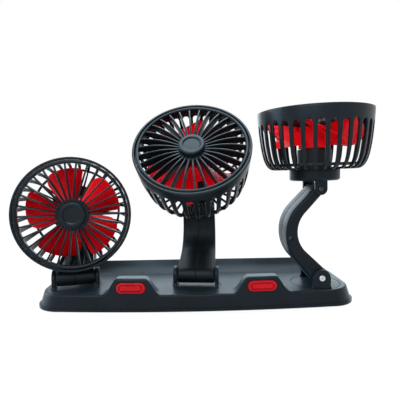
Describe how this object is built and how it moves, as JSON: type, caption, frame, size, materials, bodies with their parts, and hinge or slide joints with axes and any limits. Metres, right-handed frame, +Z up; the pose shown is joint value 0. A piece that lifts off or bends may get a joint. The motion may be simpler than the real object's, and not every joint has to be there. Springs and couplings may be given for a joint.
{
  "type": "car fan",
  "caption": "Dashboard car fan: long flat base with swivelling, folding bent arms that carry round caged fans with red impellers, and red push buttons on the front edge.",
  "frame": {"origin": "centre of the pad face under the base, on the floor", "axes": "+X along the base toward its right end, +Y to the rear ridge, +Z up"},
  "size_m": [0.3466, 0.1284, 0.1952],
  "materials": {
    "body": "satin black moulded plastic",
    "arm": "satin black moulded plastic",
    "grille": "satin black moulded plastic",
    "red": "glossy red plastic",
    "steel": "plated steel",
    "motor": "dark coated steel can",
    "board": "green laminate",
    "pad": "soft black rubber"
  },
  "bodies": {
    "base": {"base_top_cover": "body", "base_bottom_plate": "body", "base_pads": "pad", "base_screws": "steel", "control_board": "board", "left_switch": "body", "right_switch": "body", "cable_gland": "pad"},
    "left_swivel": {"left_swivel_base": "body", "left_swivel_retainer": "body", "left_swivel_screws": "steel", "left_arm_base_pin": "steel"},
    "left_arm": {"left_arm_left_half": "arm", "left_arm_right_half": "arm", "left_arm_screw": "steel"},
    "left_head": {"left_motor_cover": "body", "left_head_pin": "steel", "left_fan_bowl": "grille", "left_front_grille": "grille", "left_grille_cap": "body", "left_motor": "motor"},
    "left_fan": {"left_impeller": "red", "left_motor_shaft": "steel"},
    "middle_swivel": {"middle_swivel_base": "body", "middle_swivel_retainer": "body", "middle_swivel_screws": "steel", "middle_arm_base_pin": "steel"},
    "middle_arm": {"middle_arm_left_half": "arm", "middle_arm_right_half": "arm", "middle_arm_screw": "steel"},
    "middle_head": {"middle_motor_cover": "body", "middle_head_pin": "steel", "middle_fan_bowl": "grille", "middle_front_grille": "grille", "middle_grille_cap": "body", "middle_motor": "motor"},
    "middle_fan": {"middle_impeller": "red", "middle_motor_shaft": "steel"},
    "right_swivel": {"right_swivel_base": "body", "right_swivel_retainer": "body", "right_swivel_screws": "steel", "right_arm_base_pin": "steel"},
    "right_arm": {"right_arm_left_half": "arm", "right_arm_right_half": "arm", "right_arm_screw": "steel"},
    "right_head": {"right_motor_cover": "body", "right_head_pin": "steel", "right_fan_bowl": "grille", "right_front_grille": "grille", "right_grille_cap": "body", "right_motor": "motor"},
    "right_fan": {"right_impeller": "red", "right_motor_shaft": "steel"},
    "left_button_body": {"left_button": "red"},
    "right_button_body": {"right_button": "red"}
  },
  "joints": [
    {"name": "left_swivel", "type": "hinge", "parent": "base", "child": "left_swivel", "pos_m": [-0.12, -0.015, 0.0162], "axis": [0, 0, 1], "range_deg": [-64, 163]},
    {"name": "left_arm_fold", "type": "hinge", "parent": "left_swivel", "child": "left_arm", "pos_m": [-0.12, -0.015, 0.0262], "axis": [0.9781, 0.2079, 0], "range_deg": [-8, 33]},
    {"name": "left_head_tilt", "type": "hinge", "parent": "left_arm", "child": "left_head", "pos_m": [-0.13211, 0.04197, 0.08866], "axis": [-0.9781, -0.2079, 0], "range_deg": [0, 171]},
    {"name": "left_spin", "type": "hinge", "parent": "left_head", "child": "left_fan", "pos_m": [-0.13211, 0.04197, 0.08866], "axis": [0.2079, -0.978, 0.0175], "continuous": true},
    {"name": "middle_swivel", "type": "hinge", "parent": "base", "child": "middle_swivel", "pos_m": [0, -0.015, 0.0162], "axis": [0, 0, 1], "range_deg": [-169, 181]},
    {"name": "middle_arm_fold", "type": "hinge", "parent": "middle_swivel", "child": "middle_arm", "pos_m": [0, -0.015, 0.0262], "axis": [0.9945, -0.1045, 0], "range_deg": [-29, 60]},
    {"name": "middle_head_tilt", "type": "hinge", "parent": "middle_arm", "child": "middle_head", "pos_m": [0.0032, 0.01544, 0.10593], "axis": [-0.9945, 0.1045, 0], "range_deg": [-55, 110]},
    {"name": "middle_spin", "type": "hinge", "parent": "middle_head", "child": "middle_fan", "pos_m": [0.0032, 0.01544, 0.10593], "axis": [-0.0807, -0.7674, 0.6361], "continuous": true},
    {"name": "right_swivel", "type": "hinge", "parent": "base", "child": "right_swivel", "pos_m": [0.12, -0.015, 0.0162], "axis": [0, 0, 1], "range_deg": [-265, 85]},
    {"name": "right_arm_fold", "type": "hinge", "parent": "right_swivel", "child": "right_arm", "pos_m": [0.12, -0.015, 0.0262], "axis": [0, 1, 0], "range_deg": [-5, 60]},
    {"name": "right_head_tilt", "type": "hinge", "parent": "right_arm", "child": "right_head", "pos_m": [0.11851, -0.015, 0.11159], "axis": [0, -1, 0], "range_deg": [-130, 10]},
    {"name": "right_spin", "type": "hinge", "parent": "right_head", "child": "right_fan", "pos_m": [0.11851, -0.015, 0.11159], "axis": [-0.0175, 0, 0.9998], "continuous": true},
    {"name": "left_button_push", "type": "slide", "parent": "base", "child": "left_button_body", "axis": [0.047, 0.9951, -0.0872], "range_m": [0, 0.0012], "stiffness_N_per_m": 900, "springref_m": -0.0012},
    {"name": "right_button_push", "type": "slide", "parent": "base", "child": "right_button_body", "axis": [-0.047, 0.9951, -0.0872], "range_m": [0, 0.0012], "stiffness_N_per_m": 900, "springref_m": -0.0012}
  ]
}
